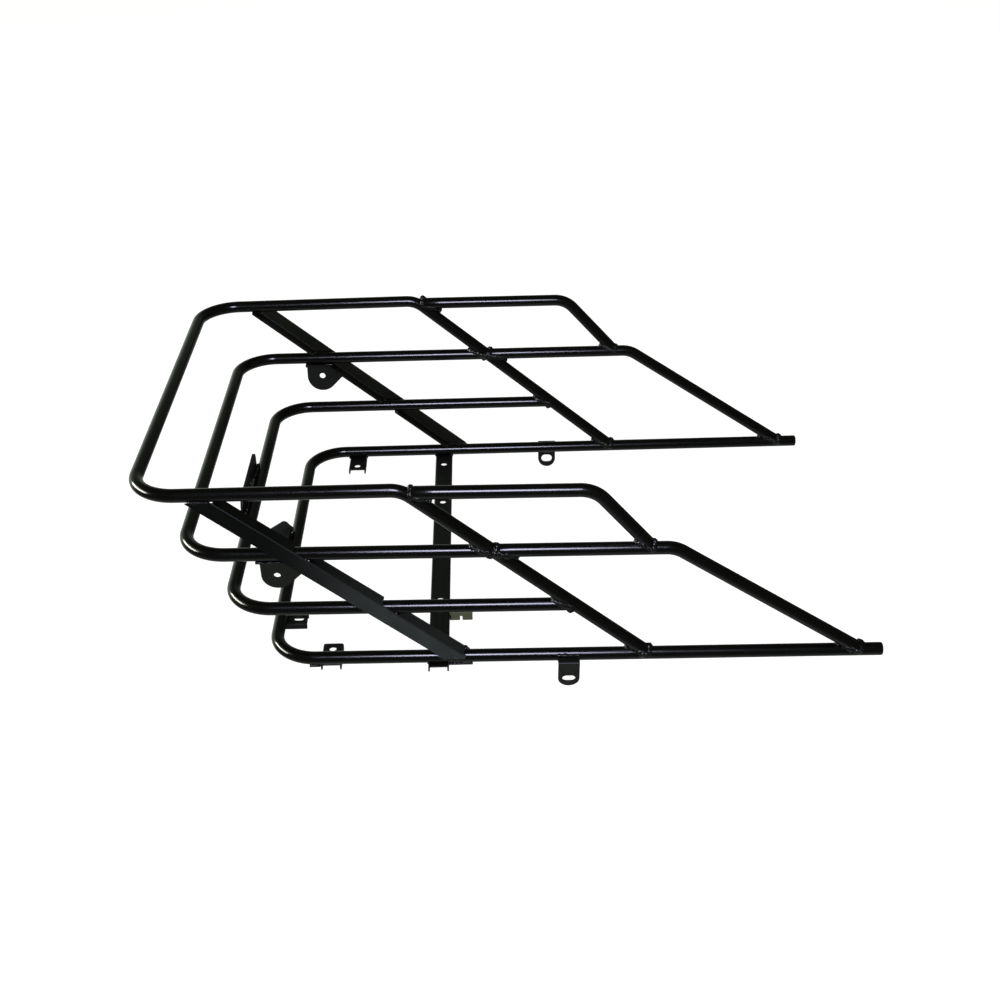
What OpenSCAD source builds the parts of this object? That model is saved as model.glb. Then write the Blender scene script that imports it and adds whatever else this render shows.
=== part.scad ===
// Open-ended tubular cargo rack: four nested hoops, bent side rails, two angle-iron
// side braces, and the sheet-metal feet and brackets that fasten it down.
// Millimetres. +X runs from the closed front to the open rear, +Y is the right-hand
// side as seen from above with the front to the left, +Z is up.
// The origin is under the middle of the rack, level with the lowest point of the lugs.

/* [Tube] */
// Outside diameter of every tube
tube_d = 16; // [14:0.5:18]
// Wall thickness of every tube
tube_wall = 1.5; // [1:0.1:2.5]
// Centre-line radius of the front corners
bend_r = 52; // [40:1:54]
// Centre-line radius of the shallow bends of the side rails
rail_bend_r = 36; // [30:1:54]

/* [Side frames] */
// Half the width between the leg centre lines at the front of the top hoop
half_width = 278; // [250:1:310]
// How far the legs come inwards for each millimetre down
side_lean = 0.055; // [0:0.005:0.08]
// How far the legs spread for each millimetre towards the rear
side_splay = 0.01; // [0:0.005:0.02]

/* [Hoops] */
// Height of the top hoop's centre line
top_z = 273; // [262:1:284]
// Height of the second hoop's centre line
second_z = 192; // [188:1:196]
// Height of the third hoop's centre line
third_z = 114; // [110:1:118]
// Height of the bottom hoop's centre line
bottom_z = 39; // [39:1:42]
// Front cross run of the top hoop
top_front_x = -434; // [-440:1:-425]
// Front cross run of the second hoop
second_front_x = -386; // [-390:1:-380]
// Front cross run of the third hoop
third_front_x = -339; // [-343:1:-335]
// Front cross run of the bottom hoop
bottom_front_x = -293; // [-296:1:-290]
// Free rear ends of the bottom hoop
rear_end_x = 442; // [432:1:450]

/* [Side rails] */
// Where the top hoop's legs turn down
top_bend_x = -128; // [-134:1:-115]
// How far the top hoop's legs rise for each millimetre towards the rear
top_rise = 0.009; // [0:0.001:0.012]
// Where the top hoop's legs land on the bottom hoop
top_foot_x = 160; // [150:1:170]
// Height of the upper rails' centre lines
upper_z = 272.3; // [270:0.1:275]
// Where the upper rails turn down
upper_bend_x = 90; // [80:1:98]
// Blunt front ends of the upper rails
upper_start_x = -117; // [-120:1:-114]
// Where the left upper rail lands on its rear rail
upper_foot_left_x = 159; // [156:1:166]
// Where the right upper rail lands on its rear rail
upper_foot_right_x = 163; // [156:1:166]
// Where the rear rails turn down
rear_bend_x = 185; // [182:1:192]
// Where the rear rails land on the bottom hoop
rear_foot_x = 416; // [406:1:420]

/* [Side braces] */
// Where the brace centre line meets the top hoop
brace_top_x = -360; // [-364:1:-356]
// Where the brace centre line meets the bottom hoop
brace_foot_x = -67; // [-72:1:-62]
// Width of the outside leg of the angle
brace_web = 19; // [17:0.5:21]
// Width of the leg that points inwards
brace_flange = 20; // [18:0.5:24]
// Thickness of the angle
brace_t = 2.5; // [2:0.1:3]
// Height of the brace's cut foot over the axis of the bottom hoop
brace_seat = 6.5; // [3:0.5:7]

/* [Bottom channels] */
// Width of the pressed channel
channel_w = 25; // [23:0.5:28]
// Depth of the pressed channel
channel_d = 8; // [7:0.5:10]
// Sheet thickness of the channel
channel_t = 2; // [1.5:0.1:2.5]
// Centre of the cross channel
channel_x = -94; // [-98:1:-90]
// Overall length of the cross channel
channel_len = 558; // [550:1:562]
// Centre of the two side floor tabs
floor_tab_x = -224; // [-228:1:-220]
// Fixing holes in channels and tabs
fix_hole_d = 8.5; // [6.5:0.5:9]
// Outer fixing holes, distance from the middle
outer_hole_y = 237; // [233:1:240]
// Inner fixing hole of the cross channel on the left, distance from the middle
inner_left_y = 132; // [118:1:135]
// Inner fixing hole of the cross channel on the right, distance from the middle
inner_right_y = 122; // [115:1:132]
// Centre of the tab on the front cross run
front_tab_y = -169; // [-175:1:-160]

/* [Ears] */
// Left ear's hole
ear_left_x = -276.5; // [-280:0.5:-273]
// Right ear's hole
ear_right_x = -270; // [-273:1:-268]
// Height of both ear holes
ear_hole_z = 163.5; // [162:0.5:165]
// Radius of the left ear
ear_left_r = 18.5; // [17:0.5:19.5]
// Radius of the right ear
ear_right_r = 22; // [20:0.5:22.5]
// Ear plate thickness
ear_t = 3; // [2.5:0.1:3.5]
// Inward lean of the ears beyond the lean of the side frame
ear_lean = 5; // [0:1:8]

/* [Strap lugs] */
// Centre of both lugs
lug_x = 63; // [55:1:70]
// Width of the lug strap
lug_w = 26; // [24:1:30]
// Thickness of the lug strap
lug_t = 3; // [2.5:0.1:3.5]
// Inward lean of the lug beyond the lean of the side frame
lug_lean = 10; // [5:1:14]
// Slot in the lug, end to end
lug_slot_len = 16; // [12:0.5:18]
// Slot in the lug, width
lug_slot_w = 10.5; // [8.5:0.5:11]

/* [Front brackets] */
// Sheet thickness of both front brackets
bracket_t = 3; // [2.5:0.1:3.5]
// Middle of the upper bracket
upper_bracket_y = 14; // [0:1:16]
// Length of the upper bracket
upper_bracket_len = 140; // [130:1:150]
// Inner tab behind the cross channel, distance to the left of the middle
rear_tab_y = -168; // [-175:1:-160]
// Length of the two tabs behind the cross channel
rear_tab_len = 29; // [24:1:34]
// Middle of the clevis on the bottom hoop
clevis_y = 2; // [-2:1:4]
// Clear gap between the clevis cheeks
clevis_gap = 38; // [34:1:42]

/* [Hidden] */

$fn = 64;
tube_r = tube_d / 2;
gap = 0.05;
paint = [0.03, 0.03, 0.033];

// The side frames are flat. In a side frame's own axes X runs rearwards along the
// legs, Y points outwards and Z points up the frame.
splay_a = atan(side_splay);
lean_a = atan(side_lean * cos(splay_a));
frame_y = half_width - side_splay * top_front_x - side_lean * top_z;

// Side-frame coordinates of a point given by its height and its distance along.
function fz(z) = z / cos(lean_a);
function fx(x, z) = (x + fz(z) * sin(splay_a) * sin(lean_a)) / cos(splay_a);
function fp(x, z) = [fx(x, z), 0, fz(z)];

// Distance from the middle of the rack to a leg's centre line.
function leg_y(x, z) = frame_y + side_splay * x + side_lean * z;

// Height of the point where the top hoop's legs turn down, and the distance along x
// where the down-going leg reaches a height.
bend_z = top_z + (top_bend_x - top_front_x) * top_rise;
function leg_x(z) = top_bend_x + (top_foot_x - top_bend_x) * (bend_z - z) / (bend_z - bottom_z);

// Angle below horizontal of a side-frame line, and the straight length a bend uses up.
function fall_of(a, b) = atan2(a[2] - b[2], b[0] - a[0]);
function turn_r(angle) = angle < 60 ? rail_bend_r : bend_r;
function bend_use(angle) = turn_r(angle) * tan(angle / 2);

module side_frame(side) {
    mirror([0, side < 0 ? 1 : 0, 0])
        translate([0, frame_y, 0])
            rotate([0, 0, splay_a])
                rotate([-lean_a, 0, 0])
                    children();
}

// Steps of a tube path. It starts along X; a turn bends it towards its own -Z.
GO = 0;
TURN = 1;
ROLL = 2;

// Round bar that follows the steps of a path, each drawn where the last one ended.
// A bend is a hair fatter than the straights, and they run a little way into it.
lap = 0.5;
bend_swell = 0.08;

module follow(steps, r, i = 0) {
    if (i < len(steps)) {
        kind = steps[i][0];
        amount = steps[i][1];
        if (kind == GO) {
            translate([-lap, 0, 0])
                rotate([0, 90, 0])
                    cylinder(h = amount + 2 * lap, r = r);
            translate([amount, 0, 0])
                follow(steps, r, i + 1);
        }
        if (kind == TURN) {
            translate([0, 0, -turn_r(amount)]) {
                rotate([90, 0, 0])
                    rotate([0, 0, 90 - amount])
                        rotate_extrude(angle = amount)
                            translate([turn_r(amount), 0])
                                circle(r = r + bend_swell);
                rotate([0, amount, 0])
                    translate([0, 0, turn_r(amount)])
                        follow(steps, r, i + 1);
            }
        }
        if (kind == ROLL)
            rotate([amount, 0, 0])
                follow(steps, r, i + 1);
    }
}

// Straight stretch of a side frame's leg or rail, as a round bar.
module frame_bar(a, b, r) {
    translate(a)
        rotate([0, fall_of(a, b), 0])
            rotate([0, 90, 0])
                cylinder(h = norm(b - a), r = r);
}

module bottom_leg_bar(r) {
    frame_bar(fp(bottom_front_x + bend_r, bottom_z), fp(rear_end_x + 20, bottom_z), r);
}

module diagonal_bar(r) {
    frame_bar(fp(leg_x(top_z - 30), top_z - 30), fp(top_foot_x, bottom_z), r);
}

// Angle of a level hoop's corners, and the straight length of its legs.
corner_a = 90 - splay_a;
function leg_len(x, end_x) = (end_x - x) / cos(splay_a) - bend_use(corner_a);

// Hoop: one front run, and on each side a corner and the steps of its leg.
module hoop_bar(x, z, corner, leg, r) {
    half = leg_y(x, z) - bend_use(corner);
    translate([x, -half - lap, z])
        rotate([-90, 0, 0])
            cylinder(h = 2 * (half + lap), r = r);
    for (side = [0, 1])
        mirror([0, side, 0])
            translate([x, half, z])
                rotate([0, 0, 90])
                    rotate([-90, 0, 0])
                        follow(concat([[TURN, corner]], leg), r);
}

module straight_hoop(x, z, end_x) {
    length = leg_len(x, end_x) - lap;
    difference() {
        hoop_bar(x, z, corner_a, [[GO, length]], tube_r);
        hoop_bar(x, z, corner_a, [[GO, length + 1]], tube_r - tube_wall);
    }
}

// The top hoop is drawn level and then tilted about its front run, legs upwards.
rise_a = atan(top_rise);
tilt_splay_a = atan(side_splay * cos(rise_a) + side_lean * sin(rise_a));
tilt_lean_a = asin((side_lean * cos(rise_a) - side_splay * sin(rise_a)) / norm([side_splay, 1, side_lean]));
tilt_corner_a = 90 - tilt_splay_a;
top_front_p = fp(top_front_x, top_z);
top_bend_p = fp(top_bend_x, bend_z);
top_foot_p = fp(top_foot_x, bottom_z);
top_leg_a = fall_of(top_front_p, top_bend_p);
diagonal_a = fall_of(top_bend_p, top_foot_p) - top_leg_a;
diagonal_len = norm(top_foot_p - top_bend_p) - bend_use(diagonal_a);

module top_hoop_bar(r, extra) {
    straight = norm(top_bend_p - top_front_p) - bend_use(tilt_corner_a) - bend_use(diagonal_a);
    turn = [[ROLL, 90 - tilt_lean_a], [TURN, diagonal_a], [GO, diagonal_len + extra]];
    translate([top_front_x, 0, top_z])
        rotate([0, -rise_a, 0])
            translate([-top_front_x, 0, -top_z])
                hoop_bar(top_front_x, top_z, tilt_corner_a, concat([[GO, straight]], turn), r);
}

module top_hoop() {
    color(paint)
        difference() {
            top_hoop_bar(tube_r, 0);
            top_hoop_bar(tube_r - tube_wall, 1);
            for (side = [-1, 1])
                side_frame(side)
                    bottom_leg_bar(tube_r + gap);
        }
}

module butted_hoop(x, z) {
    difference() {
        straight_hoop(x, z, leg_x(z));
        for (side = [-1, 1])
            side_frame(side)
                diagonal_bar(tube_r + gap);
    }
}

module second_hoop() {
    color(paint)
        butted_hoop(second_front_x, second_z);
}

module third_hoop() {
    color(paint)
        butted_hoop(third_front_x, third_z);
}

module bottom_hoop() {
    color(paint)
        straight_hoop(bottom_front_x, bottom_z, rear_end_x);
}

// Rail of a side frame: level from a to b, then down to c.
module rail_tube(a, b, c) {
    fall = fall_of(b, c);
    level = b[0] - a[0] - bend_use(fall);
    slope = norm(c - b) - bend_use(fall);
    difference() {
        translate(a)
            follow([[GO, level], [TURN, fall], [GO, slope]], tube_r);
        translate(a - [1, 0, 0])
            follow([[GO, level + 1], [TURN, fall], [GO, slope + 1]], tube_r - tube_wall);
    }
}

// The upper rail leaves the bend of the top hoop and lands on the rear rail.
module upper_rail(side, foot_x) {
    color(paint)
        side_frame(side)
            difference() {
                rail_tube(fp(top_bend_x, upper_z), fp(upper_bend_x, upper_z), fp(foot_x, second_z));
                translate(top_bend_p)
                    rotate([0, top_leg_a, 0])
                        translate([-bend_use(diagonal_a) - 60, 0, 0])
                            follow([[GO, 60], [TURN, diagonal_a], [GO, diagonal_len]], tube_r + gap);
                // blunt end, instead of a feather edge along the bend
                translate([upper_start_x - 60, -20, top_bend_p[2] - 30])
                    cube([60, 40, 60]);
                frame_bar(fp(leg_x(second_z), second_z), fp(rear_bend_x, second_z), tube_r + gap);
            }
}

module upper_rail_left() {
    upper_rail(-1, upper_foot_left_x);
}

module upper_rail_right() {
    upper_rail(1, upper_foot_right_x);
}

// The rear rail carries the second hoop's line on behind the leg, then turns down.
module rear_rail(side) {
    color(paint)
        side_frame(side)
            difference() {
                rail_tube(
                    fp(leg_x(second_z), second_z),
                    fp(rear_bend_x, second_z),
                    fp(rear_foot_x, bottom_z)
                );
                diagonal_bar(tube_r + gap);
                bottom_leg_bar(tube_r + gap);
            }
}

module rear_rail_left() {
    rear_rail(-1);
}

module rear_rail_right() {
    rear_rail(1);
}

// Angle iron outside the legs. Both sides use the same angle, turned end for end,
// so its flange is on the upper edge on the left and on the lower edge on the right.
module side_brace(side) {
    top = fp(brace_top_x, top_z);
    foot = fp(brace_foot_x, bottom_z);
    fall = fall_of(top, foot);
    length = norm(foot - top) + 60;
    flange_n = side < 0 ? brace_web / 2 - brace_t : -brace_web / 2;
    inner = tube_r + gap;
    color(paint)
        side_frame(side)
            difference() {
                union() {
                    translate(top)
                        rotate([0, fall, 0])
                            translate([-30, inner, -brace_web / 2])
                                cube([length, brace_t, brace_web]);
                    difference() {
                        translate(top)
                            rotate([0, fall, 0])
                                translate([-30, inner + brace_t - brace_flange, flange_n])
                                    cube([length, brace_flange - 0.5, brace_t]);
                        // notches where the two middle hoops pass, and both ends
                        for (z = [second_z, third_z])
                            translate([top[0] - 60, -40, fz(z) - inner])
                                cube([500, 41 + inner, 2 * inner]);
                        translate([top[0] - 60, -40, top[2] - inner])
                            cube([500, 41 + inner, 60]);
                        translate([top[0] - 60, -40, foot[2] + inner - 60])
                            cube([500, 41 + inner, 60]);
                        // inner corner cut off where the flange lands on the bottom hoop
                        translate(foot)
                            rotate([0, fall, 0])
                                translate([-7, -16, -20])
                                    rotate([0, 0, -35])
                                        translate([0, -40, 0])
                                            cube([60, 52, 40]);
                    }
                }
                translate([top[0] - 90, -60, top[2] - 5])
                    cube([180, 120, 80]);
                translate([foot[0] - 90, -60, foot[2] + brace_seat - 80])
                    cube([180, 120, 80]);
            }
}

module side_brace_left() {
    side_brace(-1);
}

module side_brace_right() {
    side_brace(1);
}

// Pressed channel that opens downwards, along its own Y, with its top at z = 0.
module channel_bar(length) {
    r = channel_t + 0.5;
    half = channel_w / 2;
    difference() {
        union() {
            translate([-half, 0, -channel_d])
                cube([channel_w, length, channel_d - r]);
            translate([-half + r, 0, -r - 1])
                cube([channel_w - 2 * r, length, r + 1]);
            for (s = [-1, 1])
                translate([s * (half - r), 0, -r])
                    rotate([-90, 0, 0])
                        cylinder(h = length, r = r);
        }
        translate([-half + channel_t, -1, -channel_d - 1])
            cube([channel_w - 2 * channel_t, length + 2, channel_d + 1 - channel_t]);
    }
}

module drill(x, y) {
    translate([x, y, -channel_d - 2])
        cylinder(h = channel_d + 4, d = fix_hole_d);
}

// Height of the underside of the bottom hoop, where the channels sit.
under_z = bottom_z - tube_r - gap;

module cross_channel() {
    color(paint)
        translate([channel_x, 0, under_z])
            difference() {
                translate([0, -channel_len / 2, 0])
                    channel_bar(channel_len);
                for (y = [-outer_hole_y, -inner_left_y, inner_right_y, outer_hole_y])
                    drill(0, y);
            }
}

module floor_tab(side) {
    inner = outer_hole_y - channel_w / 2 + 1;
    outer = leg_y(floor_tab_x, bottom_z) + 3;
    color(paint)
        mirror([0, side < 0 ? 1 : 0, 0])
            translate([floor_tab_x, 0, under_z])
                difference() {
                    translate([0, inner, 0])
                        channel_bar(outer - inner);
                    drill(0, outer_hole_y);
                }
}

module floor_tab_left() {
    floor_tab(-1);
}

module floor_tab_right() {
    floor_tab(1);
}

// Short channel along X under the front cross run, with a slot for adjustment.
module front_floor_tab() {
    length = 37;
    slot_x = bottom_front_x + 21;
    color(paint)
        difference() {
            translate([bottom_front_x - 5, front_tab_y, under_z])
                rotate([0, 0, -90])
                    channel_bar(length);
            translate([slot_x, front_tab_y, under_z - channel_d - 2]) {
                for (s = [-1, 1])
                    translate([s * 1.75, 0, 0])
                        cylinder(h = channel_d + 4, d = fix_hole_d);
                translate([-1.75, -fix_hole_d / 2, 0])
                    cube([3.5, fix_hole_d, channel_d + 4]);
            }
        }
}

// Hanging ear under the second hoop, trimmed along the lower edge of the brace.
// x is the place of its hole and r the radius of its rounded end.
module side_ear(side, x, r) {
    ear_y = 3;
    over = side < 0 ? 5 : 1;
    hole = fp(x, ear_hole_z);
    top = fp(brace_top_x, top_z);
    fall = fall_of(top, fp(brace_foot_x, bottom_z));
    flange_top = fz(second_z) - tube_r - gap;
    h = flange_top - ear_t - hole[2];
    // distance from the hole to the brace's lower edge, and where the outline meets it
    reach = (top[0] - hole[0]) * sin(fall) + (top[2] - hole[2]) * cos(fall) - brace_web / 2 - 0.4;
    k = r / sqrt(2);
    s = (reach - k * (sin(fall) - cos(fall))) / (sin(fall) + cos(fall));
    plate_u = (reach - h * cos(fall)) / sin(fall);
    flange_u = (reach - (h + ear_t) * cos(fall)) / sin(fall);
    color(paint)
        side_frame(side)
            translate([hole[0], ear_y, hole[2] + h]) {
                rotate([-ear_lean, 0, 0])
                    translate([0, ear_t / 2, -h])
                        rotate([90, 0, 0])
                            difference() {
                                union() {
                                    cylinder(h = ear_t, r = r);
                                    linear_extrude(ear_t)
                                        polygon([[-r, 0], [0, 0], [k, -k], [k + s, s - k], [plate_u, h], [-r, h]]);
                                }
                                translate([0, 0, -1])
                                    cylinder(h = ear_t + 2, d = fix_hole_d);
                            }
                translate([-r - over, -14 + ear_t / 2, 0])
                    cube([r + over + flange_u, 14, ear_t]);
            }
}

module side_ear_left() {
    side_ear(-1, ear_left_x, ear_left_r);
}

module side_ear_right() {
    side_ear(1, ear_right_x, ear_right_r);
}

// Bent strap with a slotted hanging end, welded to the outside of the bottom leg.
// It is drawn in the axes of its hanging end: Y outwards through it, Z up along it.
module strap_lug(side) {
    bend_y = 17.5;
    // length of the hanging end; this brings its lowest point to z = 0
    hang = 24.34;
    steps = 12;
    c = cos(lug_lean);
    s = sin(lug_lean);
    reach = bend_y - tube_r - gap;
    arc = [for (i = [0:steps]) lug_t * [cos(i * (90 + lug_lean) / steps), sin(i * (90 + lug_lean) / steps)]];
    flange = [lug_t * [-s, c] - reach * [c, s], -reach * [c, s], [0, 0]];
    color(paint)
        side_frame(side)
            translate(fp(lug_x, bottom_z) + [0, bend_y, -1])
                rotate([-lug_lean, 0, 0])
                    difference() {
                        union() {
                            translate([-lug_w / 2, 0, 0])
                                rotate([90, 0, 90])
                                    linear_extrude(lug_w)
                                        polygon(concat([[0, -hang], [lug_t, -hang]], arc, flange));
                            translate([0, 0, -hang])
                                rotate([-90, 0, 0])
                                    cylinder(h = lug_t, d = lug_w);
                        }
                        translate([0, -1, -hang])
                            rotate([-90, 0, 0])
                                slot(lug_slot_len, lug_slot_w, lug_t + 2);
                    }
}

// Slot along X, centred on the origin, end to end length by width.
module slot(length, width, h) {
    run = length - width;
    for (s = [-1, 1])
        translate([s * run / 2, 0, 0])
            cylinder(h = h, d = width);
    translate([-run / 2, -width / 2, 0])
        cube([run, width, h]);
}

module strap_lug_left() {
    strap_lug(-1);
}

module strap_lug_right() {
    strap_lug(1);
}

// Upright plate with rounded upper corners: w along Y, from z = 0 up to h, t along X.
module upright_plate(w, h, r, t) {
    translate([0, -w / 2, 0])
        cube([t, w, h - r]);
    translate([0, -w / 2 + r, h - r - 1])
        cube([t, w - 2 * r, r + 1]);
    for (s = [-1, 1])
        translate([0, s * (w / 2 - r), h - r])
            rotate([0, 90, 0])
                cylinder(h = t, r = r);
}

// Slotted plate in front of the third hoop, held off it by two bent-back flanges.
module front_bracket_upper() {
    height = 40;
    stand_off = 1.5;
    flange_z = 17;
    face_x = third_front_x - tube_r - stand_off - bracket_t;
    color(paint)
        difference() {
            translate([face_x, upper_bracket_y, third_z - 13]) {
                upright_plate(upper_bracket_len, height, 15, bracket_t);
                for (s = [-1, 1])
                    translate([1, s * (upper_bracket_len / 2 - 22) - 18, flange_z])
                        cube([bracket_t + stand_off + 5, 36, bracket_t]);
            }
            translate([face_x - 1, upper_bracket_y, third_z + 9])
                rotate([90, 0, 90])
                    slot(26, fix_hole_d, bracket_t + 2);
            translate([third_front_x, -150, third_z])
                rotate([-90, 0, 0])
                    cylinder(h = 300, r = tube_r + gap);
        }
}

// Clevis on the front of the bottom hoop: a back plate and two cheeks.
module front_bracket_lower() {
    back_x = bottom_front_x - tube_r - gap;
    foot_z = bottom_z - 13;
    // cheek outline, seen from the left: round the nose and foot, then up past the tube
    foot_end = [[-35, 17], [-35, 0], [0, 0], [0, 17.5]];
    tube_end = [[1.2, 18.6], [4, 21.2], [4, 25], [-0.5, 29.5]];
    outline = concat([[-4.2, 34], [-11.4, 34.7], [-29, 23.4]], foot_end, tube_end);
    color(paint)
        translate([back_x, clevis_y, foot_z])
            difference() {
                union() {
                    translate([-bracket_t, -clevis_gap / 2 - 1, 0])
                        cube([bracket_t, clevis_gap + 2, 26]);
                    for (y = [-clevis_gap / 2 - bracket_t, clevis_gap / 2])
                        translate([0, y + bracket_t, 0])
                            rotate([90, 0, 0]) {
                                linear_extrude(bracket_t)
                                    polygon(outline);
                                translate([-8.4, 29.6, 0])
                                    cylinder(h = bracket_t, r = 6);
                            }
                }
                translate([-20, -clevis_gap / 2 - bracket_t - 1, 13])
                    rotate([-90, 0, 0])
                        cylinder(h = clevis_gap + 2 * bracket_t + 2, d = fix_hole_d);
            }
}

// Upright tab with a narrow notch, behind the cross channel.
module rear_tab_inner() {
    color(paint)
        translate([channel_x + channel_w / 2 + gap, rear_tab_y, under_z - channel_d - 1])
            difference() {
                cube([rear_tab_len, 2.5, 15]);
                translate([13, -1, -1])
                    cube([3, 4.5, 5.5]);
                translate([14.5, -1, 4.5])
                    rotate([-90, 0, 0])
                        cylinder(h = 4.5, d = 3);
            }
}

// Flat tab under the left leg, behind the cross channel.
module rear_tab_outer() {
    color(paint)
        translate([channel_x + channel_w / 2 + gap, -leg_y(channel_x, bottom_z) - 6, under_z - 2])
            cube([rear_tab_len, 20, 2]);
}

// Flat tab under the left leg, in front of the left floor tab.
module front_tab_outer() {
    color(paint)
        translate([floor_tab_x - channel_w / 2 - gap - 13, -leg_y(floor_tab_x, bottom_z) - 5, under_z - 2])
            cube([13, 18, 2]);
}

top_hoop();
second_hoop();
third_hoop();
bottom_hoop();
upper_rail_left();
upper_rail_right();
rear_rail_left();
rear_rail_right();
side_brace_left();
side_brace_right();
cross_channel();
floor_tab_left();
floor_tab_right();
front_floor_tab();
side_ear_left();
side_ear_right();
strap_lug_left();
strap_lug_right();
front_bracket_upper();
front_bracket_lower();
rear_tab_inner();
rear_tab_outer();
front_tab_outer();
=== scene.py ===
import math

import bmesh
import bpy
from mathutils import Matrix, Vector, noise


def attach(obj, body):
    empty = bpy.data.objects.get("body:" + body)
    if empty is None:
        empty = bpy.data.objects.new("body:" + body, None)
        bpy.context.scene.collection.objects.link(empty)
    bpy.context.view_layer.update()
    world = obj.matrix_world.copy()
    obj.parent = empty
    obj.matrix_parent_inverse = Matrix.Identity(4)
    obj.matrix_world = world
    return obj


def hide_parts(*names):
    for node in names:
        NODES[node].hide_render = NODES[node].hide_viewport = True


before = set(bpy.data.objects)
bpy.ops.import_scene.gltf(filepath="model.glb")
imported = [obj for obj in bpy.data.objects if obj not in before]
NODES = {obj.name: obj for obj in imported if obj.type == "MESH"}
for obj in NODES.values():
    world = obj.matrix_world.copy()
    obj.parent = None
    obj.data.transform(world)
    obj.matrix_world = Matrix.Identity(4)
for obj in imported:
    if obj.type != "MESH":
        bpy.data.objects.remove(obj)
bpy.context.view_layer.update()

MM = 0.001

# ---------------------------------------------------------------- dimensions, in mm, as in the CAD
TUBE_R = 8.0
WALL = 1.5
# bends of the hoops, and the shallower bends of the rails and legs
BEND_R = 52.0
RAIL_BEND_R = 36.0
# the four hoops, from the top one down: height and front run
TOP_Z, SECOND_Z, THIRD_Z, BOTTOM_Z = 273.0, 192.0, 114.0, 39.0
TOP_X, SECOND_X, THIRD_X, BOTTOM_X = -434.0, -386.0, -339.0, -293.0
REAR_X = 442.0
# the top hoop rises towards its bends, then its legs come down
TOP_RISE = 0.009
TOP_BEND_X, TOP_FOOT_X = -128.0, 160.0
BEND_Z = TOP_Z + (TOP_BEND_X - TOP_X) * TOP_RISE
# upper rails: their feet differ, -1 is left and 1 is right
UPPER_Z = 272.3
UPPER_START_X = -117.0
UPPER_FOOT = {-1: 159.0, 1: 163.0}
UPPER_BEND_X = 90.0
REAR_BEND_X, REAR_FOOT_X = 185.0, 416.0
# the side frames open a little to the rear and to the top
SPLAY, LEAN = 0.01, 0.055
HALF_WIDTH = 278.0
FRAME_Y = HALF_WIDTH - SPLAY * TOP_X - LEAN * TOP_Z
# angle iron of the side braces
WEB, FLANGE, ANGLE_T = 19.0, 19.5, 2.5
BRACE_SEAT = 6.5
BRACE_TOP_X, BRACE_FOOT_X = -360.0, -67.0
INNER = TUBE_R + 0.05
# small parts: hole's x, radius and overhang of each ear, then the lug, the channel and the floor tabs
EAR = {-1: (-276.5, 18.5, 5.0), 1: (-270.0, 22.0, 1.0)}
LUG_X = 63.0
CHANNEL_X, TAB_X = -94.0, -224.0
# how far the beads stand from the middle of a 25 mm channel, foot or tab
CHANNEL_EDGE = 12.6
# across the rack: middles of the upper bracket and of the front tab
BRACKET_Y, FRONT_TAB_Y = 14.0, -169.0


def at(x, z, side):
    """Point on the centre plane of a side frame."""
    return Vector((x, side * (FRAME_Y + SPLAY * x + LEAN * z), z))


def out_of(side):
    """Outward normal of a side frame."""
    return Vector((-SPLAY, side, -LEAN)).normalized()


def spot(x, z, out, side):
    """Point a distance outside the centre plane of a side frame."""
    return at(x, z, side) + out_of(side) * out


def leg_x(z):
    """Where the top hoop's leg stands at a height."""
    return TOP_BEND_X + (TOP_FOOT_X - TOP_BEND_X) * (BEND_Z - z) / (BEND_Z - BOTTOM_Z)


# ---------------------------------------------------------------- materials
def shade(base, factor):
    """A colour made darker or lighter, with full opacity."""
    return tuple(c * factor for c in base) + (1,)


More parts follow.
